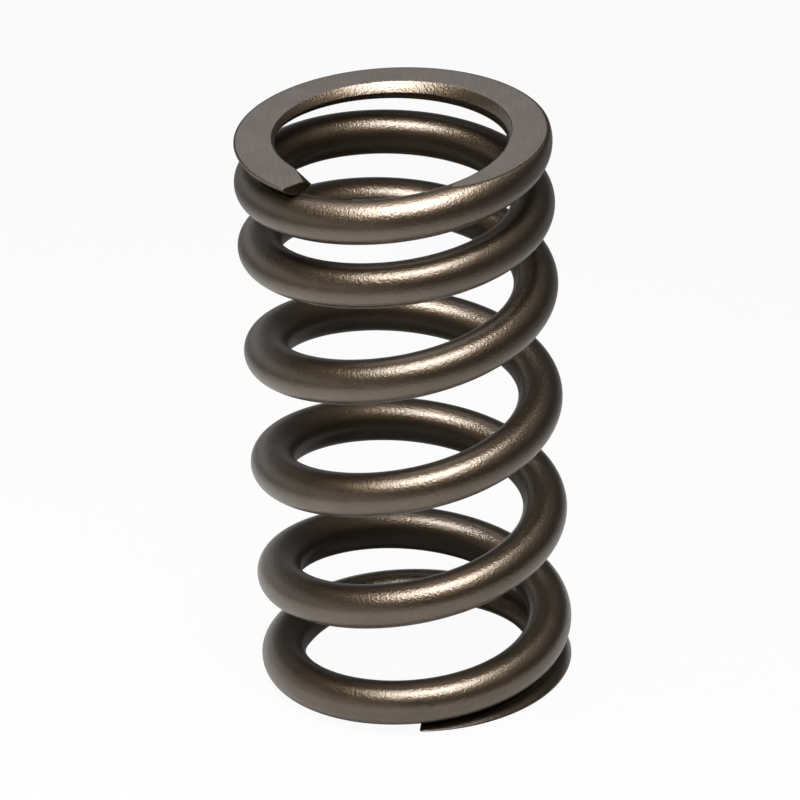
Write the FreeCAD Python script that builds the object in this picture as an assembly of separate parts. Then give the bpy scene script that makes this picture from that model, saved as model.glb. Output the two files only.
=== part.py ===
import FreeCAD, Part
import math
import os

# An engine valve spring: one round wire wound into a right-hand helix.
# The lower coils are open and do the work, and the upper coils are wound closer together,
# so the spring gets stiffer as it shortens. Both end coils close on their neighbours
# and are ground flat, so the spring stands square on its seat and under its retainer.
# All lengths are millimetres. The spring's axis is Z, and its lower face lies at Z = 0.
# Places along the wire are counted in turns, from the lower wire end.

# Wire and coil. The azimuth is where the lower wire end lies, seen from above,
# in degrees counted from +X.
wire_diameter = 4.5
outer_diameter = 32.0
free_length = 60.0
total_turns = 6.88
start_azimuth = -90.0

# The lower end coil lies closed for this many turns, then its pitch opens over the next.
lower_closed_turns = 0.95
lower_opening_turns = 0.40

# The close-wound coils, counted down from the upper wire end, and the clear gap
# between them. Their last stretch closes on the coil below.
close_wound_turns = 2.64
close_wound_blend_turns = 0.70
close_wound_gap = 2.5
upper_closing_turns = 0.85
upper_closing_blend_turns = 0.60

# What the grinding leaves of each wire end, and its clearance to the next coil.
lower_tip_thickness = 0.5
upper_tip_thickness = 1.2
coil_clearance = 0.1

# The wire is sheared off at this angle from square, in degrees, seen from above.
shear_skew = 11.0

# A 45 degree cone takes the sharp inner edge off each ground face. On the upper face it
# sat off centre, towards +Y, so that bevel is wide on one side and dies out on the other.
bevel_width = 0.5
upper_bevel_offset = 0.57

# The inner corner of the upper wire end is dressed off by one flat facet. It runs this
# far across the end, down the end, and back along the inside of the coil.
corner_reach = 1.6
corner_drop = 1.0
corner_length = 2.5

# How many round sections each turn of the wire is lofted through.
sections_per_turn = 36

# Derived sizes
wire_radius = wire_diameter / 2.0
coil_radius = outer_diameter / 2.0 - wire_radius
inner_radius = coil_radius - wire_radius
seat_pitch = wire_diameter + coil_clearance
close_wound_pitch = wire_diameter + close_wound_gap
lower_end_height = lower_tip_thickness - wire_radius
upper_end_height = free_length - upper_tip_thickness + wire_radius

# Each tip is a length of four wire diameters, wound one diameter past its shear cut.
diameter_turns = wire_diameter / (2.0 * math.pi * coil_radius)
tip_turns = 4.0 * diameter_turns

up = FreeCAD.Vector(0.0, 0.0, 1.0)


def ease(x):
    """A smooth step: 0 up to x = 0, then 3 x^2 - 2 x^3, and 1 from x = 1 on."""
    t = min(max(x, 0.0), 1.0)
    return t * t * (3.0 - 2.0 * t)


def eased_area(x):
    """The area under that step from 0 to x, which is x^3 - x^4 / 2, then x - 1/2."""
    t = min(max(x, 0.0), 1.0)
    return t ** 3 - t ** 4 / 2.0 + max(x - 1.0, 0.0)


class PitchChange:
    """A smooth change of pitch that starts at one turn and takes a span of turns."""

    def __init__(self, start, span):
        self.start = start
        self.span = span

    def share(self, turn):
        """How much of the change is made at this turn, from 0 to 1."""
        return ease((turn - self.start) / self.span)

    def turns_since(self, turn):
        """Turns wound so far at the new pitch, a part-made change counting in part."""
        return self.span * eased_area((turn - self.start) / self.span)


opening = PitchChange(lower_closed_turns, lower_opening_turns)
tightening = PitchChange(total_turns - close_wound_turns, close_wound_blend_turns)
closing = PitchChange(total_turns - upper_closing_turns, upper_closing_blend_turns)


def closing_pitch():
    """The last pitch: over its last turn the wire comes down onto the coil below."""
    turned = closing.turns_since(total_turns) - closing.turns_since(total_turns - 1.0)
    return close_wound_pitch - (close_wound_pitch - seat_pitch) / turned


def open_pitch(last_pitch):
    """The open coils' pitch, which takes up the height that the other coils leave."""
    opened = opening.turns_since(total_turns)
    tightened = tightening.turns_since(total_turns)
    closed = closing.turns_since(total_turns)
    early = opening.turns_since(1.0)
    lower_turns = (total_turns - opened) / (1.0 - early)
    rise = upper_end_height - lower_end_height
    rise -= seat_pitch * lower_turns
    rise -= close_wound_pitch * (tightened - closed)
    rise -= last_pitch * closed
    return rise / (opened - tightened - early * lower_turns)


def starting_pitch(middle_pitch):
    """The first pitch: after one turn the wire lies just clear of its own lower end."""
    early = opening.turns_since(1.0)
    return (seat_pitch - middle_pitch * early) / (1.0 - early)


upper_pitch = closing_pitch()
working_pitch = open_pitch(upper_pitch)
lower_pitch = starting_pitch(working_pitch)


def height(turn):
    """Height of the centreline: each pitch times the turns wound at it."""
    opened = opening.turns_since(turn)
    tightened = tightening.turns_since(turn)
    closed = closing.turns_since(turn)
    return (lower_end_height
            + lower_pitch * (turn - opened)
            + working_pitch * (opened - tightened)
            + close_wound_pitch * (tightened - closed)
            + upper_pitch * closed)


def pitch(turn):
    """Rise per turn at this place along the wire."""
    return (lower_pitch
            + (working_pitch - lower_pitch) * opening.share(turn)
            + (close_wound_pitch - working_pitch) * tightening.share(turn)
            + (upper_pitch - close_wound_pitch) * closing.share(turn))


def outward(turn):
    """Unit vector from the axis through the centreline."""
    angle = math.radians(start_azimuth + 360.0 * turn)
    return FreeCAD.Vector(math.cos(angle), math.sin(angle), 0.0)


def around(turn):
    """Level unit vector the way the wire is wound."""
    return up.cross(outward(turn))


def centre(turn):
    """Point on the centreline."""
    return outward(turn) * coil_radius + up * height(turn)


def travel(turn):
    """The centreline's change per turn, which points along the wire."""
    return around(turn) * (2.0 * math.pi * coil_radius) + up * pitch(turn)


def wire_section(turn):
    """The round section square to the wire, with its seam on the inside of the coil."""
    circle = Part.makeCircle(wire_radius)
    turned = FreeCAD.Rotation(-outward(turn), FreeCAD.Vector(), travel(turn), "ZXY")
    circle.Placement = FreeCAD.Placement(centre(turn), turned)
    return Part.Wire([circle])


def wire_span(first, last):
    """A length of round wire between two turns, lofted smoothly through its sections."""
    cubic = 3
    steps = max(cubic, math.ceil((last - first) * sections_per_turn))
    turns = [first + (last - first) * i / steps for i in range(steps + 1)]
    solid, ruled, closed = True, False, False
    return Part.makeLoft([wire_section(turn) for turn in turns], solid, ruled, closed, cubic)


def block_beyond(point, normal):
    """A block, two wire diameters each way, whose base is centred on a point."""
    reach = wire_diameter
    side = 2.0 * reach
    block = Part.makeBox(side, side, side, FreeCAD.Vector(-reach, -reach, 0.0))
    block.Placement = FreeCAD.Placement(point, FreeCAD.Rotation(up, normal))
    return block


def shear_block(turn, away):
    """What the skewed shear cut takes off beyond one wire end."""
    normal = FreeCAD.Rotation(up, -shear_skew).multVec(away)
    return block_beyond(centre(turn), normal)


def dressed_corner():
    """What the facet takes off the upper wire end's inner corner."""
    corner = outward(total_turns) * inner_radius + up * free_length
    across_end = corner + outward(total_turns) * corner_reach
    down_end = corner - up * corner_drop
    along_coil = corner - around(total_turns) * corner_length
    middle = (across_end + down_end + along_coil) / 3.0
    normal = (along_coil - down_end).cross(across_end - down_end)
    return block_beyond(middle, normal)


def lower_tip():
    """The wire's first length, sheared off at its end."""
    tip = wire_span(-diameter_turns, tip_turns)
    return tip.cut(shear_block(0.0, -around(0.0)))


def upper_tip():
    """The wire's last length, sheared off, with its inner corner dressed."""
    tip = wire_span(total_turns - tip_turns, total_turns + diameter_turns)
    tip = tip.cut(shear_block(total_turns, around(total_turns)))
    return tip.cut(dressed_corner())


def wound_wire():
    """The whole wire before grinding: the two tips, and spans of about a turn between."""
    first = tip_turns
    last = total_turns - tip_turns
    count = max(1, round(last - first))
    stops = [first + (last - first) * i / count for i in range(count + 1)]
    spans = [wire_span(a, b) for a, b in zip(stops, stops[1:])]
    return lower_tip().multiFuse(spans + [upper_tip()])


def ground_off(face_height, away, bevel_offset):
    """What the grinding wheel and the bevelling cone take away at one end."""
    wheel = Part.makeCylinder(outer_diameter, wire_diameter, up * face_height, away)
    cone_base = FreeCAD.Vector(0.0, bevel_offset, face_height)
    cone_radius = inner_radius + bevel_width
    cone_depth = 2.0 * bevel_width + bevel_offset
    cone = Part.makeCone(cone_radius, cone_radius - cone_depth, cone_depth, cone_base, -away)
    return wheel.fuse(cone)


def valve_spring():
    """The finished spring, ground flat and bevelled at both ends."""
    wire = wound_wire()
    wire = wire.cut(ground_off(0.0, -up, 0.0))
    return wire.cut(ground_off(free_length, up, upper_bevel_offset))


os.makedirs("parts", exist_ok=True)
spring = valve_spring()
spring.exportStep("parts/valve_spring.step")
print("pitches", round(lower_pitch, 3), round(working_pitch, 3), close_wound_pitch, round(upper_pitch, 3))
print("solids", len(spring.Solids), "valid", spring.isValid(), "volume", round(spring.Volume, 2))
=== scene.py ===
# %% [markdown]
# # An engine valve spring
# A valve spring is one length of round steel wire, wound into a helix. Its end coils close on
# their neighbours and are ground flat, so that it stands square. The whole spring is then
# peened with fine shot, which leaves a dense grain of shallow dimples, and it comes out of
# the heat treatment bronze brown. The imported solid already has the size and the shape. Here
# the spring gets a skin of its own, worked out from the same few sizes, with broken edges,
# grain and the finishes of wire and ground faces.

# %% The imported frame
import math
import bpy
import numpy as np
from mathutils import Matrix, Vector


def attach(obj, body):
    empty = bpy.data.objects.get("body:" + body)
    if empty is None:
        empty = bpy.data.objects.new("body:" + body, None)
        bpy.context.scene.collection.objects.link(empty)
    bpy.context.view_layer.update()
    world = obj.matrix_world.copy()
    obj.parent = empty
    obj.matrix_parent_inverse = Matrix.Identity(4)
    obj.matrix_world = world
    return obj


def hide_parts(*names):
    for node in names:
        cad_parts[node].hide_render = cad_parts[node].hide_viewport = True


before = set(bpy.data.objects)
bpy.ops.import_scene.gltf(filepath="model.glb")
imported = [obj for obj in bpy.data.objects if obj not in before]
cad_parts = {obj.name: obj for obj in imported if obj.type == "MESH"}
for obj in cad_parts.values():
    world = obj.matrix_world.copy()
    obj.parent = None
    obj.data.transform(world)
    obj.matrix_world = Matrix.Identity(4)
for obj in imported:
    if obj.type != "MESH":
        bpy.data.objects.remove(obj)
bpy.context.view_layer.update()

# %% [markdown]
# ## Sizes of the spring
# These are the sizes that the winder and the grinder set, in millimetres, the same ones that
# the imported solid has. Places along the wire are counted in turns, from the lower wire end,
# and azimuths in degrees from +X, seen from above. The tip thicknesses are what the grinder
# leaves of each wire end. The mesh is made in millimetres and brought to metres at the very
# end, because whole millimetres are easier to read than thousandths of a metre.

# %% Sizes of the spring
millimetre = 0.001
wire_diameter = 4.5
outer_diameter = 32.0
free_length = 60.0
total_turns = 6.88
start_azimuth = -90.0

lower_closed_turns = 0.95
lower_opening_turns = 0.40
close_wound_turns = 2.64
close_wound_blend_turns = 0.70
upper_closing_turns = 0.85
upper_closing_blend_turns = 0.60
close_wound_gap = 2.5
coil_clearance = 0.1

lower_tip_thickness = 0.5
upper_tip_thickness = 1.2
shear_skew = math.radians(11.0)
bevel_width = 0.5
upper_bevel_offset = 0.57
corner_reach = 1.6
corner_drop = 1.0
corner_length = 2.5

wire_radius = wire_diameter / 2
coil_radius = outer_diameter / 2 - wire_radius
inner_radius = coil_radius - wire_radius
turn_length = 2 * math.pi * coil_radius
seat_pitch = wire_diameter + coil_clearance
close_wound_pitch = wire_diameter + close_wound_gap
print("wire", wire_diameter, "coil radius", coil_radius, "free length", free_length)

# %% [markdown]
# ## How the pitch changes
# A winding machine changes the pitch with a cam, so the pitch never jumps: it eases from one
# value to the next. A spline through hand-placed heights would look much the same, but then
# the closed coils would not lie at their clearance. Here each change is the turn where it
# starts and the turns that it takes, and a smooth step with the area under it gives the
# pitch and the height exactly, anywhere along the wire.

# %% How the pitch changes
pitch_changes = {
    "opening": (lower_closed_turns, lower_opening_turns),
    "tightening": (total_turns - close_wound_turns, close_wound_blend_turns),
    "closing": (total_turns - upper_closing_turns, upper_closing_blend_turns),
}


def ease(x):
    """A smooth step: 0 up to x = 0, then 3 x^2 - 2 x^3, and 1 from x = 1 on."""
    t = np.clip(x, 0.0, 1.0)
    return t * t * (3.0 - 2.0 * t)


def eased_area(x):
    """The area under that step from 0 to x, which is x^3 - x^4 / 2, then x - 1/2."""
    t = np.clip(x, 0.0, 1.0)
    return t ** 3 - t ** 4 / 2 + np.maximum(np.asarray(x) - 1.0, 0.0)


def share(change, turn):
    """How much of a change of pitch is made at this turn, from 0 to 1."""
    start, span = pitch_changes[change]
    return ease((turn - start) / span)


def wound(change, turn):
    """Turns wound at the new pitch so far, a part-made change counting in part."""
    start, span = pitch_changes[change]
    return span * eased_area((turn - start) / span)


print("the pitch changes from turns", [round(start, 2) for start, span in pitch_changes.values()])

# %% [markdown]
# ## The four pitches
# The close-wound pitch is the wire and its gap. The other three follow from where the coils
# have to lie. They could be found by trial, but the height is a sum of pitches times turns,
# so plain algebra gives them, and they stay right when a size changes.

# %% The four pitches
def solve_pitches():
    """The first, the open and the last pitch. The last one brings the last turn onto the
    coil below, and the first one lays the second turn just clear of the wire end. The open
    pitch takes up the height left."""
    last_turn = wound("closing", total_turns) - wound("closing", total_turns - 1.0)
    upper = close_wound_pitch - (close_wound_pitch - seat_pitch) / last_turn
    opened, tightened, closed = (wound(name, total_turns) for name in pitch_changes)
    early = wound("opening", 1.0)
    lower_turns = (total_turns - opened) / (1.0 - early)
    rise = free_length - upper_tip_thickness - lower_tip_thickness + wire_diameter
    rise -= seat_pitch * lower_turns + close_wound_pitch * (tightened - closed) + upper * closed
    middle = rise / (opened - tightened - early * lower_turns)
    return (seat_pitch - middle * early) / (1.0 - early), middle, upper


lower_pitch, open_pitch, upper_pitch = solve_pitches()
print("pitches", np.round([lower_pitch, open_pitch, close_wound_pitch, upper_pitch], 3).tolist())

# %% [markdown]
# ## Height and slope along the wire
# The wire climbs by its pitch in each turn, so its height is the area under the pitch. It
# could be added up in small steps, but the eased areas above are exact in one go.

# %% Height and slope along the wire
def height(turn):
    """Height of the wire's centreline: each pitch times the turns wound at it."""
    opened, tightened, closed = (wound(name, turn) for name in pitch_changes)
    return (lower_tip_thickness - wire_radius + lower_pitch * (turn - opened)
            + open_pitch * (opened - tightened) + close_wound_pitch * (tightened - closed)
            + upper_pitch * closed)


def pitch(turn):
    """Rise per turn, which is the slope of that height."""
    opened, tightened, closed = (share(name, turn) for name in pitch_changes)
    return (lower_pitch + (open_pitch - lower_pitch) * opened
            + (close_wound_pitch - open_pitch) * tightened
            + (upper_pitch - close_wound_pitch) * closed)


def slope(turn):
    """The wire's angle above level: the arctangent of the pitch over the turn's length."""
    return np.arctan(pitch(turn) / turn_length)


print("steepest slope", round(math.degrees(slope(total_turns / 2)), 2), "degrees")

# %% [markdown]
# ## From a turn to a place in space
# At each turn the wire has its own small frame: out from the axis, along the coil, and lift,
# which is square to the wire and nearly upright. Blender could carry a circle along a curve
# for this, but then it couldn't be cut exactly. Here a point of the section is one complex
# number, whose real part counts wire radii outward and whose imaginary part counts them
# along lift, so cutting the section is plain arithmetic.

# %% From a turn to a place in space
def coil_frame(turn):
    """Unit vectors out and along, both level, and lift, which is the cosine of the slope
    times straight up, less its sine times along."""
    angle = np.radians(start_azimuth + 360.0 * turn)
    zero, one = np.zeros_like(angle), np.ones_like(angle)
    out = np.stack([np.cos(angle), np.sin(angle), zero], -1)
    along = np.stack([-np.sin(angle), np.cos(angle), zero], -1)
    tilt = slope(turn)[..., None]
    lift = np.cos(tilt) * np.stack([zero, zero, one], -1) - np.sin(tilt) * along
    return out, along, lift


def placed(turn, section):
    """Point of the wire: the centreline plus the section point times the wire radius."""
    out, _, lift = coil_frame(turn)
    centre = out * coil_radius
    centre[..., 2] += height(turn)
    return centre + wire_radius * (section.real[..., None] * out + section.imag[..., None] * lift)


def on_circle(angle):
    """Point of the round section at an angle from its top, counted towards the inside:
    minus the sine outward, and the cosine along lift."""
    return -np.sin(angle) + 1j * np.cos(angle)


print("wire end", placed(np.array([total_turns]), np.array([0j])).round(3).tolist())

# %% [markdown]
# ## What the grinder and the bevelling cone take
# Both faces are flat, and a 45 degree cone breaks their inner edge. On the upper face the
# cone sat off centre, so that bevel is wide at the back and gone at the front. The upper wire
# end also has its inner corner dressed off. Booleans on a fine mesh leave ragged edges, so
# the cuts are solved instead: for each turn, halving finds where the round section meets
# the cut, and a line of vertices is laid exactly there.

# %% What the grinder and the bevelling cone take
halvings = 26
search_turns = np.linspace(0.0, total_turns, 20001)


def lower_cut(x, y):
    """Depth of the bevel inside the lower face: cone radius minus distance to the axis."""
    return inner_radius + bevel_width - np.hypot(x, y)


def upper_cut(x, y):
    """Depth inside the upper face: the cone's, or the corner facet's if that is deeper.
    The facet's depth falls evenly to nothing across the end and back along the coil. Its
    plane runs on, so it counts only near the wire end."""
    cone = inner_radius + bevel_width - np.hypot(x, y - upper_bevel_offset)
    out, along, _ = coil_frame(np.array(total_turns))
    across = x * out[0] + y * out[1] - inner_radius
    back = -(x * along[0] + y * along[1])
    facet = corner_drop * (1.0 - across / corner_reach - back / corner_length)
    near_end = (np.abs(back) < 2 * corner_length) & (np.abs(across) < wire_diameter)
    return np.maximum(cone, np.where(near_end, facet, 0.0))


def halved(low, high, removed):
    """The place between low and high where removed turns false, by repeated halving."""
    for _ in range(halvings):
        middle = (low + high) / 2
        gone = removed(middle)
        low, high = np.where(gone, middle, low), np.where(gone, high, middle)
    return low


# The turns where the wire's top and its underside reach the ground faces.
upper_meeting = float(search_turns[height(search_turns) + wire_radius > free_length][0])
lower_meeting = float(search_turns[height(search_turns) - wire_radius < 0.0][-1])
print("ground from turn", round(upper_meeting, 3), "and up to turn", round(lower_meeting, 3))

# %% [markdown]
# ## Where a ground side has its edges
# The wheel leaves a flat that grows from nothing to the whole width of the wire. A mesh could
# begin new columns of vertices there, but then it would need stitching. Instead every turn
# has the same columns, and where the wire isn't ground they lie in a strip of its round top.
# The strip is narrow where the flat is about to begin and wide elsewhere. Both sides are
# worked out as if they were the top, and the lower one is turned over later.

# %% Where a ground side has its edges
narrow_strip = math.radians(8.0)
wide_strip = math.radians(20.0)
strip_wait = 0.05
strip_blend = 0.30
widest_bevel = math.radians(80.0)


def flat_of(turn, upper):
    """The flat's level in wire radii, half the angle that it or its strip spans, and a
    number that goes from 0 on the strip to 1 on the flat. The level is the height of the
    face over the centreline, divided by the wire radius and the cosine of the slope."""
    face = free_length - height(turn) if upper else height(turn)
    level = face / (wire_radius * np.cos(slope(turn)))
    reach = np.arccos(np.clip(level, -1.0, 1.0))
    away = upper_meeting - turn if upper else turn - lower_meeting
    narrow = narrow_strip + (wide_strip - narrow_strip) * ease((away - strip_wait) / strip_blend)
    return level, np.maximum(reach, narrow), np.clip((reach - narrow) / narrow, 0.0, 1.0)


def bevel_of(turn, upper, level, half, ground):
    """Where the bevel starts on the flat, in wire radii outward, and at what angle from
    the top it runs out on the inside of the coil."""
    def removed(section):
        """Whether a section point lies less deep inside the face than the cut goes."""
        point = placed(turn, section if upper else np.conj(section))
        below = free_length - point[..., 2] if upper else point[..., 2]
        cut = upper_cut if upper else lower_cut
        return cut(point[..., 0], point[..., 1]) > below

    start = halved(-np.sin(half), 0.0 * half, lambda u: (ground > 0) & removed(u + 1j * level))
    stop = halved(half, half + widest_bevel, lambda angle: removed(on_circle(angle)))
    return start, stop


_, end_half, _ = flat_of(total_turns, True)
print("the upper wire end's flat is", round(float(wire_diameter * np.sin(end_half)), 2), "wide")

# %% [markdown]
# ## One ground side of the section
# Seen across the wire, a ground side is five short lines: a rounded outer rim, the flat, the
# flat's broken inner edge, the bevel, and the bevel's own edge. The shot wears the outer rim
# rounder than the rest. A Bevel modifier would round all of them alike, so each line is laid
# by itself, with a short curve for every broken edge.

# %% One ground side of the section
edge_break = 0.07
rim_round = 0.28
most_broken = 0.35
flat_steps = 9
rim_steps = 5
touching = 1e-9


def bend(start, corner, stop, t):
    """A rounded corner: the curve (1-t)^2 start + 2 t (1-t) corner + t^2 stop."""
    return (1 - t) ** 2 * start + 2 * t * (1 - t) * corner + t ** 2 * stop


def ground_side(turn, upper):
    """Section points of one side, from the outer round to the inner round, as an array of
    turns by columns, its side taken as the top. Also says which points are ground flat."""
    turn = turn[:, None]
    level, half, ground = flat_of(turn, upper)
    bevel_start, bevel_angle = bevel_of(turn, upper, level, half, ground)
    small, rim = edge_break / wire_radius, rim_round / wire_radius
    bevel_angle = np.maximum(bevel_angle, half + small)

    def never_above(angle):
        """Round section at an angle from the top, inward, but never above the flat."""
        return -np.sin(angle) + 1j * np.minimum(np.cos(angle), level)

    outer_edge, inner_edge = never_above(-half), bevel_start + 1j * never_above(half).imag
    bevel_end = on_circle(bevel_angle)
    bevel = bevel_end - inner_edge
    broken = bevel / np.abs(bevel) * np.minimum(small, most_broken * np.abs(bevel))

    across = np.linspace(0.0, 1.0, flat_steps + 1)[None, :]
    curved = never_above(-(half - rim) + (2 * half - rim - small) * across)
    left, right = np.sin(half) - rim, bevel_start + small
    flat = curved + ground * (left + (right - left) * across - curved.real)
    round_the_rim = np.linspace(0.0, 1.0, rim_steps, endpoint=False)[None, :]
    first_half, whole = np.array([[0.0, 0.5]]), np.array([[0.0, 0.5, 1.0]])
    lines = [
        bend(on_circle(-(half + rim)), outer_edge, flat[:, :1], round_the_rim),
        flat[:, :-1],
        bend(flat[:, -1:], inner_edge, inner_edge + broken, first_half),
        inner_edge + broken + (bevel - 2 * broken) * first_half,
        bend(bevel_end - broken, bevel_end, on_circle(bevel_angle + small), whole),
    ]
    columns = np.concatenate([np.broadcast_to(p, (len(turn), p.shape[1])) for p in lines], 1)
    on_flat = np.zeros(columns.shape, bool)
    across_flat = slice(rim_steps, rim_steps + flat_steps + 1)
    on_flat[:, across_flat] = columns.imag[:, across_flat] >= level - touching
    return columns, on_flat


print("columns across a ground side", ground_side(np.array([total_turns]), True)[0].shape[1])

# %% [markdown]
# ## The whole section, for every turn
# The two ground sides are joined by two round stretches, inside and outside. Rows of
# vertices could be even all along, but they lie closer together near the wire ends, where
# the facet and the shear cut need them.

# %% The whole section, for every turn
arc_steps = 20
end_rows = 36
middle_rows = 1120
end_stretch = 6.0
lower_end_round = 0.28
upper_end_round = 0.13


def round_between(start, stop):
    """Round section from one section point to another, both ends left out, as exp(i a)."""
    first = np.angle(start)
    turn_by = (np.angle(stop) - first) % (2 * np.pi)
    steps = np.arange(1, arc_steps)[None, :] / arc_steps
    return np.exp(1j * (first + turn_by * steps))


def row_turns():
    """Turns of the rows: close at both ends, even between. The ends stop short of the
    shear cut by the rounding of its edge."""
    stretch = end_stretch / turn_length
    last_turn = total_turns - upper_end_round / turn_length
    first = np.linspace(lower_end_round / turn_length, stretch, end_rows, endpoint=False)
    middle = np.linspace(stretch, total_turns - stretch, middle_rows, endpoint=False)
    last = np.linspace(total_turns - stretch, last_turn, end_rows)
    return np.concatenate([first, middle, last])


rows = row_turns()
upper_side, upper_flat = ground_side(rows, True)
lower_side, lower_flat = ground_side(rows, False)
lower_side, lower_flat = np.conj(lower_side)[:, ::-1], lower_flat[:, ::-1]
inside = round_between(upper_side[:, -1:], lower_side[:, :1])
outside = round_between(lower_side[:, -1:], upper_side[:, :1])
section = np.concatenate([upper_side, inside, lower_side, outside], 1)
round_part = np.zeros(inside.shape, bool)
ground_flat = np.concatenate([upper_flat, round_part, lower_flat, round_part], 1)
print("grid", section.shape, "ground points", int(ground_flat.sum()))

# %% [markdown]
# ## The skin of the wire
# Drawn and peened wire is never a perfect tube: under a lamp its highlight wavers a little.
# A Displace modifier could do it, but it would wrinkle the ground faces too and make the
# spring larger. So a few low waves, a hundredth of a millimetre at most, are taken off the
# round part. They only ever go inward, they leave the ground faces alone, and they die out
# towards the wire ends.

# %% The skin of the wire
wave_seed = 7
wave_count = 14
wave_depth = 0.010
most_around = 6
shortest_wave = 2.2
longest_wave = 9.0
wave_start = 0.03
wave_growth = 0.05
round_within = 1e-6


def waves(turn, section):
    """Sum of sines over length along the wire and angle around it, scaled to 0 to 1."""
    random = np.random.default_rng(wave_seed)
    length = turn * turn_length
    angle = np.angle(section)
    total = np.zeros(section.shape)
    for _ in range(wave_count):
        around, phase = random.integers(1, most_around + 1), random.uniform(0, 2 * np.pi)
        wavelength = random.uniform(shortest_wave, longest_wave)
        total += np.sin(around * angle + 2 * np.pi * length / wavelength + phase)
    return 0.5 + total / (2.0 * wave_count)


row_grid = np.broadcast_to(rows[:, None], section.shape)
on_round = np.isclose(np.abs(section), 1.0, atol=round_within)
from_end = np.minimum(rows, total_turns - rows)
fade = ease((from_end - wave_start) / wave_growth)[:, None] * on_round
waved = section * (1.0 - fade * wave_depth / wire_radius * waves(row_grid, section))
print("round share of the wire", round(float(on_round.mean()), 3))

# %% [markdown]
# ## Leaning into the shear cut
# The shear cuts the wire along a slanted plane. Cutting the mesh there would leave slivers,
# so the rows lean over near each end instead, until the last one lies in that plane.

# %% Leaning into the shear cut
lean_stretch = 4.0


def leaning(turn, section):
    """Shift along the coil that lays a row in the shear plane: minus the section's outward
    part times the tangent of the skew, with the wire's slope taken out."""
    to_end = np.minimum(turn, total_turns - turn) * turn_length
    slanted = section.real * math.tan(shear_skew) - section.imag * np.sin(slope(turn))
    return -wire_radius * slanted * (1.0 - ease(to_end / lean_stretch))


def wire_points(turn, section):
    """Rows of points in space, sheared towards the wire ends."""
    _, along, _ = coil_frame(turn)
    return placed(turn, section) + leaning(turn, section)[..., None] * along


skin = wire_points(row_grid, waved)
print("skin spans", skin.reshape(-1, 3).min(0).round(3), skin.reshape(-1, 3).max(0).round(3))

# %% [markdown]
# ## Where the wire is darkened: painted shade
# The inside of each coil is darkened below its upper shoulder, where the lamp's highlight
# doesn't fall: painted shade. So is the side of a coil that faces a nearly touching
# neighbour: painted shade between the coils. The dressed corner of the upper wire end is
# darkened as well. A painted mask could say where, but one number for each point is simpler:
# it is worked out here and kept as the mesh's own attribute, which the finish reads. Each dark
# area is given by where it starts on the section and how far it fades in, in wire radii.

# %% Where the wire is darkened: painted shade
# Painted shade on the inside of the coil, below its upper shoulder.
inside_shade_inward = (0.0, 0.5)
inside_shade_down = (-0.72, 0.40)
# Painted shade on the side of a coil that faces a nearly touching neighbour.
coil_shade_inward = (-0.90, 0.40)
coil_shade_up = (0.20, 0.35)
coil_shade_down = (0.45, 0.35)
near_gap = 1.8
end_blend = 0.06
facet_fade = 0.4


def past(place, start, fade):
    """0 up to start, then easing to 1 over the length fade."""
    return ease((place - start) / fade)


def inside_shade(section):
    """Painted shade: 1 on the inside of the coil, below its upper shoulder, easing to 0 round
    about.
    """
    return past(-section.real, *inside_shade_inward) * past(-section.imag, *inside_shade_down)


def closeness(turn, step):
    """1 where the next coil touches and 0 from near_gap on, with step 1 for the coil above
    and -1 for the one below. The gap is their difference in height less the wire. It eases
    to 0 where that coil ends, over end_blend turns."""
    other = turn + step
    gap = np.abs(height(other) - height(turn)) - wire_diameter
    there = ease(other / end_blend) * ease((total_turns - other) / end_blend)
    return there * ease(1.0 - gap / near_gap)


def darkness(turn, section):
    """The larger of the painted shade inside the coil and the painted shade on the side that faces
    a nearly touching coil.
    """
    shade_above = closeness(turn, 1.0) * past(section.imag, *coil_shade_up)
    shade_below = closeness(turn, -1.0) * past(-section.imag, *coil_shade_down)
    between_shade = past(-section.real, *coil_shade_inward) * np.maximum(shade_above, shade_below)
    return np.maximum(inside_shade(section), between_shade)


def facet_area(turn, section):
    """1 on the dressed corner of the upper wire end, which isn't on the round."""
    length_left = (total_turns - turn) * turn_length
    return ease((corner_length - length_left) / facet_fade) * (section.real < 0.0) * ~on_round


# Painted shade inside and between the coils, and the darkened facet.
dark = darkness(row_grid, section) * on_round + facet_area(row_grid, section)
print("dark share of the wire", round(float(dark.mean()), 3))

# %% [markdown]
# ## The sheared wire ends
# A shear leaves a flat end with a slightly rolled edge, and the heat treatment leaves its
# dark scale on it. A cap of one many-sided face would shade badly, so each end is closed by
# rings that first turn round the edge and then run in to the middle, where one vertex
# closes them.

# %% The sheared wire ends
end_scale = 0.95
end_bends = np.radians([30.0, 60.0, 90.0])
middle_spread = 0.8
furthest_in = 0.5


def end_rings(row, forward, end_round):
    """Rings that close one end. Each point moves towards the section's middle line, first
    by end_round (1 - cos b) while the ring advances by end_round sin b, then straight. The
    middle line runs half way between the ground flat and the round across from it."""
    ring = section[row]
    turn = np.full(ring.shape, rows[row])
    outward = middle_spread * ring.real
    across_from = np.sqrt(1 - np.clip(outward, -1, 1) ** 2)
    if forward < 0:
        middle = outward + 0.5j * (ring.imag.min() + across_from)
    else:
        middle = outward + 0.5j * (ring.imag.max() - across_from)
    edge, centre = wire_points(turn, ring), wire_points(turn, middle)
    _, along, _ = coil_frame(turn)
    ahead = along * forward * end_round
    reach = np.linalg.norm(centre - edge, axis=1)[:, None]
    rings = []
    for angle in end_bends:
        inward = np.minimum(end_round * (1 - math.cos(angle)) / reach, furthest_in)
        rings.append(edge + (centre - edge) * inward + ahead * math.sin(angle))
    rings.append(edge + (centre - edge) * furthest_in + ahead)
    return rings, (centre + ahead).mean(0)


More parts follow.
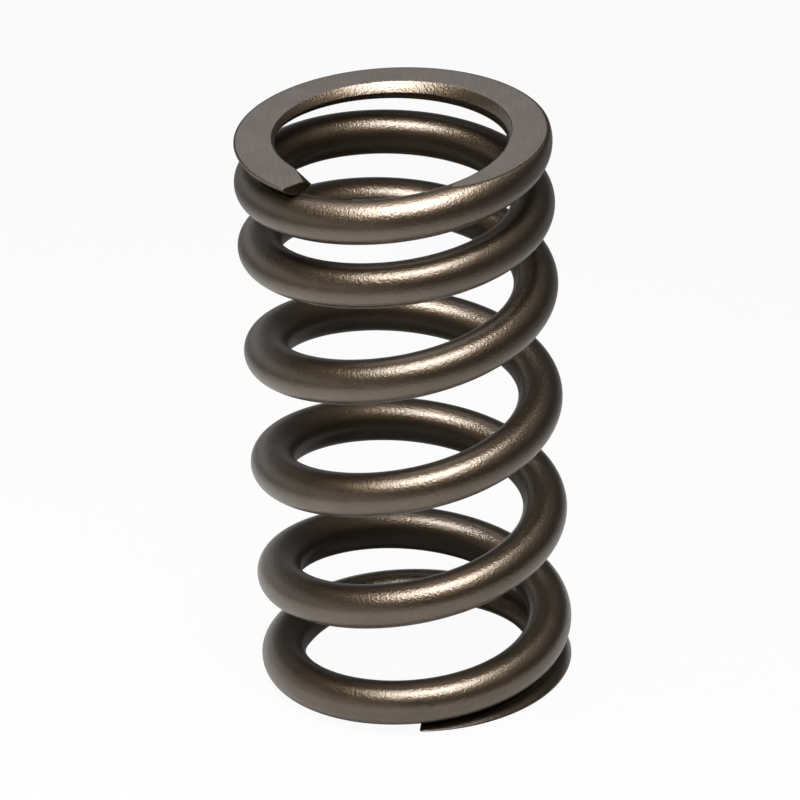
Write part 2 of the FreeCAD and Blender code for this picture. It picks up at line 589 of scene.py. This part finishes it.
first_rings, first_middle = end_rings(0, -1.0, lower_end_round)
last_rings, last_middle = end_rings(-1, 1.0, upper_end_round)
grid = np.stack(first_rings[::-1] + list(skin) + last_rings)
rings, columns = grid.shape[:2]
points = np.concatenate([grid.reshape(-1, 3), [first_middle, last_middle]])
points[:, 2] = np.clip(points[:, 2], 0.0, free_length)
end_dark = np.full((len(first_rings), columns), end_scale)
point_dark = np.concatenate([np.concatenate([end_dark, dark, end_dark]).ravel(), [end_scale] * 2])
print("rings", rings, "columns", columns, "points", len(points))

# %% [markdown]
# ## Faces over the grid
# The grid becomes quads, and the two end rings become fans of triangles. Blender could wrap
# a hull round the points, but the grid already knows its neighbours, so the corners of all
# faces come from counting. Quads whose corners all lie on a ground flat take the second
# finish.

# %% Faces over the grid
def grid_quads(rings, columns):
    """Quads between neighbouring rings, wrapped round at the last column."""
    i, j = np.meshgrid(np.arange(rings - 1), np.arange(columns), indexing="ij")
    k = (j + 1) % columns
    return np.stack([i * columns + j, (i + 1) * columns + j,
                     (i + 1) * columns + k, i * columns + k], -1).reshape(-1, 4)


def fan(start, columns, middle, flipped):
    """Triangles from one ring to the vertex in its middle."""
    j = np.arange(columns)
    k = (j + 1) % columns
    pair = (start + k, start + j) if flipped else (start + j, start + k)
    return np.stack([*pair, np.full(columns, middle)], -1)


quads = grid_quads(rings, columns)
first_fan = fan(0, columns, len(points) - 2, True)
last_fan = fan((rings - 1) * columns, columns, len(points) - 1, False)
fans = np.concatenate([first_fan, last_fan])
end_flags = np.zeros((len(first_rings), columns), bool)
point_ground = np.concatenate([end_flags, ground_flat, end_flags]).ravel()
quads_ground = point_ground[quads].all(1)
corner = points[np.concatenate([quads[:, [0, 1, 2]], quads[:, [0, 2, 3]], fans])]
volume = np.einsum("ij,ij->i", corner[:, 0], np.cross(corner[:, 1], corner[:, 2])).sum() / 6
print("triangles", len(corner), "volume in mm3", round(float(volume), 1))

# %% [markdown]
# ## The mesh
# Everything goes into the mesh as whole arrays, which takes a moment where adding the faces
# one by one would take minutes. Edges sharper than 28 degrees stay sharp, so the flats keep
# their outline while the round shades smoothly. The finished wire stands for the packed
# solid and rides on its one body.

# %% The mesh
smooth_limit = math.radians(28.0)


def mesh_from(name, points, quads, triangles, finish_of_quads, dark):
    """A mesh from arrays: corners go in as one flat list, with each face's start and size.
    The number dark goes in for each point, under the name the finish asks for."""
    mesh = bpy.data.meshes.new(name)
    mesh.vertices.add(len(points))
    mesh.vertices.foreach_set("co", (points * millimetre).astype(np.float32).ravel())
    mesh.attributes.new("dark", "FLOAT", "POINT").data.foreach_set("value", dark.astype(np.float32))
    corners = np.concatenate([quads.ravel(), triangles.ravel()]).astype(np.int32)
    sizes = np.concatenate([np.full(len(quads), 4), np.full(len(triangles), 3)])
    starts = np.concatenate([[0], np.cumsum(sizes)[:-1]]).astype(np.int32)
    finishes = np.concatenate([finish_of_quads, np.zeros(len(triangles), int)]).astype(np.int32)
    mesh.loops.add(len(corners))
    mesh.loops.foreach_set("vertex_index", corners)
    mesh.polygons.add(len(sizes))
    mesh.polygons.foreach_set("loop_start", starts)
    mesh.polygons.foreach_set("material_index", finishes)
    mesh.update(calc_edges=True)
    mesh.validate()
    mesh.shade_smooth()
    mesh.set_sharp_from_angle(angle=smooth_limit)
    return mesh


wire_mesh = mesh_from("valve_spring_wire", points, quads, fans, quads_ground, point_dark)
spring_wire = bpy.data.objects.new("spring_wire", wire_mesh)
bpy.context.scene.collection.objects.link(spring_wire)
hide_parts("valve_spring")
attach(spring_wire, "root")
print("faces", len(wire_mesh.polygons), "of them ground", int(quads_ground.sum()))

# %% [markdown]
# ## An empty finish, and nodes for it
# A finish is a handful of nodes. Each could be added by hand in the shader editor. These
# two helpers keep a node to one line of text, so a finish can be read from top to bottom.

# %% An empty finish, and nodes for it
def new_finish(name):
    """An empty node tree for a material, with its shader and its Object coordinates."""
    finish = bpy.data.materials.new(name)
    finish.use_nodes = True
    tree = finish.node_tree
    tree.nodes.clear()
    output = tree.nodes.new("ShaderNodeOutputMaterial")
    shader = tree.nodes.new("ShaderNodeBsdfPrincipled")
    tree.links.new(shader.outputs["BSDF"], output.inputs["Surface"])
    coordinates = tree.nodes.new("ShaderNodeTexCoord").outputs["Object"]
    return finish, tree, shader, coordinates


def add(tree, kind, links=(), **inputs):
    """A node of one kind, with plain inputs by name and links as (input, socket) pairs."""
    made = tree.nodes.new("ShaderNode" + kind)
    for name, value in inputs.items():
        made.inputs[name.replace("_", " ")].default_value = value
    for name, socket in links:
        tree.links.new(socket, made.inputs[name])
    return made


print("helpers", new_finish.__name__, "and", add.__name__)

# %% [markdown]
# ## Noise, tones and bumps
# Both finishes are made of the same few things: soft noise of some size, tones laid over it,
# a fine speckle and bumps. Pictures of real steel could carry all that, but noise has no
# seams and no edge, and its size is a plain number. Such noise rarely leaves the range from
# 0.3 to 0.7, so that is the part of it that gets used.

# %% Noise, tones and bumps
noise_low = 0.30
noise_high = 0.70
speckle_shade = 0.84


def grey(value):
    """A colour with the same red, green and blue."""
    return (value, value, value)


def grain(tree, coordinates, size, detail, roughness=0.5):
    """Soft noise with features of this size, in metres."""
    return add(tree, "TexNoise", [("Vector", coordinates)], Scale=1.0 / size, Detail=detail,
               Roughness=roughness).outputs["Fac"]


def tones(tree, factor, stops):
    """A ramp from a number to a colour, with stops as (position, colour) pairs."""
    ramp = add(tree, "ValToRGB", [("Fac", factor)])
    elements = ramp.color_ramp.elements
    for index, (position, colour) in enumerate(stops):
        element = elements[index] if index < 2 else elements.new(position)
        element.position, element.color = position, (*colour, 1.0)
    return ramp.outputs["Color"]


def spread(tree, factor, low, high, start=0.0, stop=1.0):
    """A number carried from the range start to stop onto the range low to high."""
    made = add(tree, "MapRange", [("Value", factor)])
    for name, value in (("From Min", start), ("From Max", stop), ("To Min", low), ("To Max", high)):
        made.inputs[name].default_value = value
    return made.outputs["Result"]


def speckled(tree, colour, fine):
    """The colour times a grey that falls to speckle_shade where the fine grain is low."""
    shade = tones(tree, fine, [(noise_low, grey(speckle_shade)), (noise_high, grey(1.0))])
    mixed = add(tree, "MixRGB", [("Color1", colour), ("Color2", shade)], Fac=1.0)
    mixed.blend_type = "MULTIPLY"
    return mixed.outputs["Color"]


def bumped(tree, relief, depth, over=None):
    """A normal bumped by a relief of 0 to 1 that is depth metres high, over another one."""
    links = [("Height", relief)] + ([] if over is None else [("Normal", over)])
    return add(tree, "Bump", links, Strength=1.0, Distance=depth).outputs["Normal"]


print("soft noise is read from", noise_low, "to", noise_high)

# %% [markdown]
# ## Peened and tempered wire
# Shot of about half a millimetre leaves overlapping dimples, a few thousandths of a
# millimetre deep. Under a lamp they break the edge of the highlight into bright grains. The
# steel is seen through a thin brown oxide, so the metal itself is bronze brown and varies
# softly from place to place. A film of oil lies over it: that is the coat, which adds a
# whiter gleam. A cell pattern would draw each dimple, but at this scale only a grain shows,
# so soft noise of the same size does it. The number dark that the mesh brings along makes
# the metal darker and rougher there, and its oil film thinner.

# %% Peened and tempered wire
brown_tones = [(0.32, (0.102, 0.065, 0.029)), (0.68, (0.134, 0.083, 0.040))]
# Nearly black: the sheared ends' scale, and painted shade inside the coils and between them.
scale_and_shade_colour = (0.012, 0.010, 0.008, 1.0)
most_darkened = 0.70
more_rough = 0.20
least_oil = 0.25


def peened_wire():
    """Metal in two soft tones under a thin coat, with uneven roughness and three sizes of
    bump. Where dark is 1 it is nearly black, rougher, and has hardly any coat."""
    finish, tree, shader, coordinates = new_finish("peened_wire")
    shader.inputs["Metallic"].default_value = 1.0
    shader.inputs["Coat Roughness"].default_value = 0.27
    shader.inputs["Coat IOR"].default_value = 1.85
    broad = grain(tree, coordinates, size=0.0030, detail=3.0)
    fine = grain(tree, coordinates, size=0.00021, detail=2.0, roughness=0.6)
    dimples = grain(tree, coordinates, size=0.00027, detail=1.0)
    swell = grain(tree, coordinates, size=0.0011, detail=1.0)
    marked = add(tree, "Attribute")
    marked.attribute_name = "dark"
    dark = marked.outputs["Fac"]

    brown = speckled(tree, tones(tree, broad, brown_tones), fine)
    # The near black is mixed in where dark says so: painted shade, and scale on the wire ends.
    darkening = spread(tree, dark, 0.0, most_darkened)
    darkened = add(tree, "MixRGB", [("Color1", brown), ("Fac", darkening)], Color2=scale_and_shade_colour)
    tree.links.new(darkened.outputs["Color"], shader.inputs["Base Color"])
    matt = spread(tree, fine, low=0.35, high=0.46, start=noise_low, stop=noise_high)
    rougher = add(tree, "Math", [(0, spread(tree, dark, 0.0, more_rough)), (1, matt)])
    tree.links.new(rougher.outputs["Value"], shader.inputs["Roughness"])
    tree.links.new(spread(tree, dark, 1.0, least_oil), shader.inputs["Coat Weight"])

    swollen = bumped(tree, swell, depth=0.000006)
    dented = bumped(tree, dimples, depth=0.000028, over=swollen)
    grained = bumped(tree, fine, depth=0.000026, over=dented)
    tree.links.new(grained, shader.inputs["Normal"])
    tree.links.new(grained, shader.inputs["Coat Normal"])
    return finish


wire_mesh.materials.append(peened_wire())
print("nodes in the wire's finish", len(wire_mesh.materials[0].node_tree.nodes))

# %% [markdown]
# ## Ground faces
# The wheel leaves fine scratches, all much the same way, and the peening that follows dulls
# them. So the faces are matt, greyer than the wire, and almost even in tone. Scratches are
# too fine to model one by one, but noise that is stretched one way looks just like them.

# %% Ground faces
grey_tones = [(noise_low, (0.212, 0.191, 0.177)), (noise_high, (0.237, 0.215, 0.199))]
scratch_turn = (0.0, 0.0, 0.6)
scratch_stretch = (1.0, 0.05, 1.0)


def ground_face():
    """Dull metal, with stretched noise for scratches and a little grain over them."""
    finish, tree, shader, coordinates = new_finish("ground_face")
    shader.inputs["Metallic"].default_value = 1.0
    lengthwise = add(tree, "Mapping", [("Vector", coordinates)], Rotation=scratch_turn,
                     Scale=scratch_stretch).outputs["Vector"]
    scratches = grain(tree, lengthwise, size=0.00016, detail=3.0, roughness=0.7)
    fine = grain(tree, coordinates, size=0.00030, detail=3.0)
    broad = grain(tree, coordinates, size=0.0040, detail=2.0)
    ground = speckled(tree, tones(tree, broad, grey_tones), fine)
    tree.links.new(ground, shader.inputs["Base Color"])
    matt = spread(tree, scratches, low=0.53, high=0.60, start=noise_low, stop=noise_high)
    tree.links.new(matt, shader.inputs["Roughness"])
    scored = bumped(tree, scratches, depth=0.000002)
    grained = bumped(tree, fine, depth=0.000012, over=scored)
    tree.links.new(grained, shader.inputs["Normal"])
    return finish


wire_mesh.materials.append(ground_face())
print("finishes", [finish.name for finish in wire_mesh.materials])

# %% [markdown]
# ## White for some of the rays
# A pale floor could be made white by more light, but that light would fall on the spring as
# well. Instead the floor and the room are plain white for the rays that ask for it: wholly or
# almost so for the camera's own, and a small share for those that metal mirrors.

# %% White for some of the rays
def times_plus(tree, value, factor, more=None):
    """A node that gives value times factor, plus more where there is any."""
    made = add(tree, "Math", [(0, value)])
    made.operation = "MULTIPLY_ADD"
    made.inputs[1].default_value = factor
    made.inputs[2].default_value = 0.0
    if more is not None:
        tree.links.new(more, made.inputs[2])
    return made.outputs["Value"]


def white_to_rays(tree, seen, mirrored):
    """Share of plain white: seen for camera rays, mirrored for glossy and transmitted ones."""
    path = tree.nodes.new("ShaderNodeLightPath")
    total = None
    for ray, glow in (("Is Camera Ray", seen), ("Is Glossy Ray", mirrored),
                      ("Is Transmission Ray", mirrored)):
        total = times_plus(tree, path.outputs[ray], glow, total)
    return total


white = (1.0, 1.0, 1.0, 1.0)
print("plain white has red, green and blue", white[:3])

# %% [markdown]
# ## The table
# The spring stands on a wide white table. The camera sees it almost plain white, with a soft
# shadow. Metal shows what is around it, and there the table is paper whose colour is a
# painted pool of light: pale near the spring's front left and darker further off. A table of
# one even white would be simpler, but the undersides of the coils would lose their dark bands.

# %% The table
table_half = 3.0
table_drop = 0.00002
table_seen = 0.95
table_mirrored = 0.10
# A painted pool of light: the paper's colour is pale round this point and darker further off.
light_pool_middle = (-0.045, -0.055, 0.0)
light_pool_fade = (0.04, 0.18)
light_pool_tones = [(0.0, grey(0.47)), (1.0, grey(0.07))]


def white_table():
    """Mostly plain white to the camera, with a share of lit paper whose colour is a painted pool of
    light, fading with distance.
    """
    finish = bpy.data.materials.new("white_table")
    finish.use_nodes = True
    tree = finish.node_tree
    tree.nodes.clear()
    output = tree.nodes.new("ShaderNodeOutputMaterial")
    away = add(tree, "VectorMath", [(0, tree.nodes.new("ShaderNodeTexCoord").outputs["Object"])])
    away.operation = "DISTANCE"
    away.inputs[1].default_value = light_pool_middle
    fading = spread(tree, away.outputs["Value"], 0.0, 1.0, *light_pool_fade)
    lit = add(tree, "BsdfDiffuse", [("Color", tones(tree, fading, light_pool_tones))])
    plain = add(tree, "Emission", Color=white, Strength=1.0)
    mix = add(tree, "MixShader", [(0, white_to_rays(tree, table_seen, table_mirrored)),
                                  (1, lit.outputs["BSDF"]), (2, plain.outputs["Emission"])])
    tree.links.new(mix.outputs["Shader"], output.inputs["Surface"])
    return finish


table_corners = [(-table_half, -table_half, -table_drop), (table_half, -table_half, -table_drop),
                 (table_half, table_half, -table_drop), (-table_half, table_half, -table_drop)]
table_mesh = bpy.data.meshes.new("table")
table_mesh.from_pydata(table_corners, [], [(0, 1, 2, 3)])
table_mesh.materials.append(white_table())
table = bpy.data.objects.new("table", table_mesh)
bpy.context.scene.collection.objects.link(table)
print("table half width", table_half)

# %% [markdown]
# ## The room
# The room round the table is dark, but pale low down, most of all on the left, and a little
# paler overhead. So a coil gets pale rims, a brown band low on its front and a dark band
# over that. Walls could be built for it, but a world whose grey depends on the direction
# does the same without any mesh. Up is counted with a share of sideways in it, which tilts
# the pale foot of the room towards the left.

# %% The room
room_lean = 0.45
room_seen = 1.0
room_mirrored = 0.02
room_tones = [(0.00, grey(0.46)), (0.15, grey(0.04)), (0.70, grey(0.04)), (1.00, grey(0.20))]

room = bpy.data.worlds.new("room")
bpy.context.scene.world = room
room.use_nodes = True
walls = room.node_tree
walls.nodes.clear()
direction = walls.nodes.new("ShaderNodeTexCoord").outputs["Generated"]
axes = add(walls, "SeparateXYZ", [("Vector", direction)])
upness = times_plus(walls, axes.outputs["X"], room_lean, axes.outputs["Z"])
white_share = white_to_rays(walls, room_seen, room_mirrored)
seen = add(walls, "MixRGB", [("Color1", tones(walls, upness, room_tones)), ("Fac", white_share)],
           Color2=white)
background = add(walls, "Background", [("Color", seen.outputs["Color"])], Strength=1.0)
room_output = walls.nodes.new("ShaderNodeOutputWorld")
walls.links.new(background.outputs["Background"], room_output.inputs["Surface"])
print("nodes in the room", len(walls.nodes))

# %% [markdown]
# ## The lamps
# One large soft lamp hangs almost overhead, a little to the front. Each coil mirrors it
# where the wire's surface leans back, and that is the highlight. A small hard lamp would
# make it a thin bright line: the lamp's size sets how wide it is. A second, far weaker one
# behind the spring gives the faint glow over the highlight, as a pale wall there would. How
# far away they are hardly matters.

# %% The lamps
lamp_distance = 0.9


def softbox(name, azimuth, elevation, width, length, brightness):
    """A flat lamp that faces the spring's middle. Its watts are brightness times pi times
    its area, so a mirror that shows it would be as bright as brightness times white."""
    azimuth, elevation = math.radians(azimuth), math.radians(elevation)
    toward = Vector((math.cos(azimuth) * math.cos(elevation),
                     math.sin(azimuth) * math.cos(elevation), math.sin(elevation)))
    data = bpy.data.lights.new(name, "AREA")
    data.shape = "RECTANGLE"
    data.size, data.size_y = width, length
    data.energy = brightness * math.pi * width * length
    lamp = bpy.data.objects.new(name, data)
    upper = toward.cross(Vector((1.0, 0.0, 0.0))).normalized()
    turned = Matrix((upper.cross(toward), upper, toward)).transposed()
    middle = Vector((0.0, 0.0, free_length / 2 * millimetre))
    lamp.matrix_world = Matrix.Translation(middle + toward * lamp_distance) @ turned.to_4x4()
    lamp.visible_camera = False
    bpy.context.scene.collection.objects.link(lamp)
    print(name, "watts", round(data.energy, 2))


softbox("softbox_above", azimuth=-88.0, elevation=79.0, width=0.66, length=0.80, brightness=10.8)
softbox("softbox_behind", azimuth=112.0, elevation=56.0, width=0.42, length=0.42, brightness=0.9)

# %% [markdown]
# ## The camera
# A long lens from about three quarters of a metre, 27.5 degrees above the table and rolled
# by almost 3 degrees. It could be aimed by eye, but these values come from matching the
# spring's outline, so the render can be laid over the photograph.

# %% The camera
camera_distance = 0.776
camera_elevation = math.radians(27.49)
camera_roll = math.radians(-2.89)
camera_aim = Vector((-0.000509, 0.0, 0.030213))
picture_width = 800
focal_pixels = 7655.6

forward = Vector((0.0, math.cos(camera_elevation), -math.sin(camera_elevation)))
level_right, level_up = Vector((1.0, 0.0, 0.0)), Vector((0.0, -forward.z, forward.y))
right = level_right * math.cos(camera_roll) + level_up * math.sin(camera_roll)
above = level_up * math.cos(camera_roll) - level_right * math.sin(camera_roll)
camera_data = bpy.data.cameras.new("camera")
camera_data.sensor_width = 36.0
camera_data.lens = focal_pixels / picture_width * camera_data.sensor_width
camera_data.clip_start, camera_data.clip_end = 0.01, 20.0
camera = bpy.data.objects.new("camera", camera_data)
turned = Matrix((right, above, -forward)).transposed()
camera.matrix_world = Matrix.Translation(camera_aim - forward * camera_distance) @ turned.to_4x4()
bpy.context.scene.collection.objects.link(camera)
bpy.context.scene.camera = camera
bpy.context.scene.view_settings.view_transform = "Standard"
print("lens", round(camera_data.lens, 1))
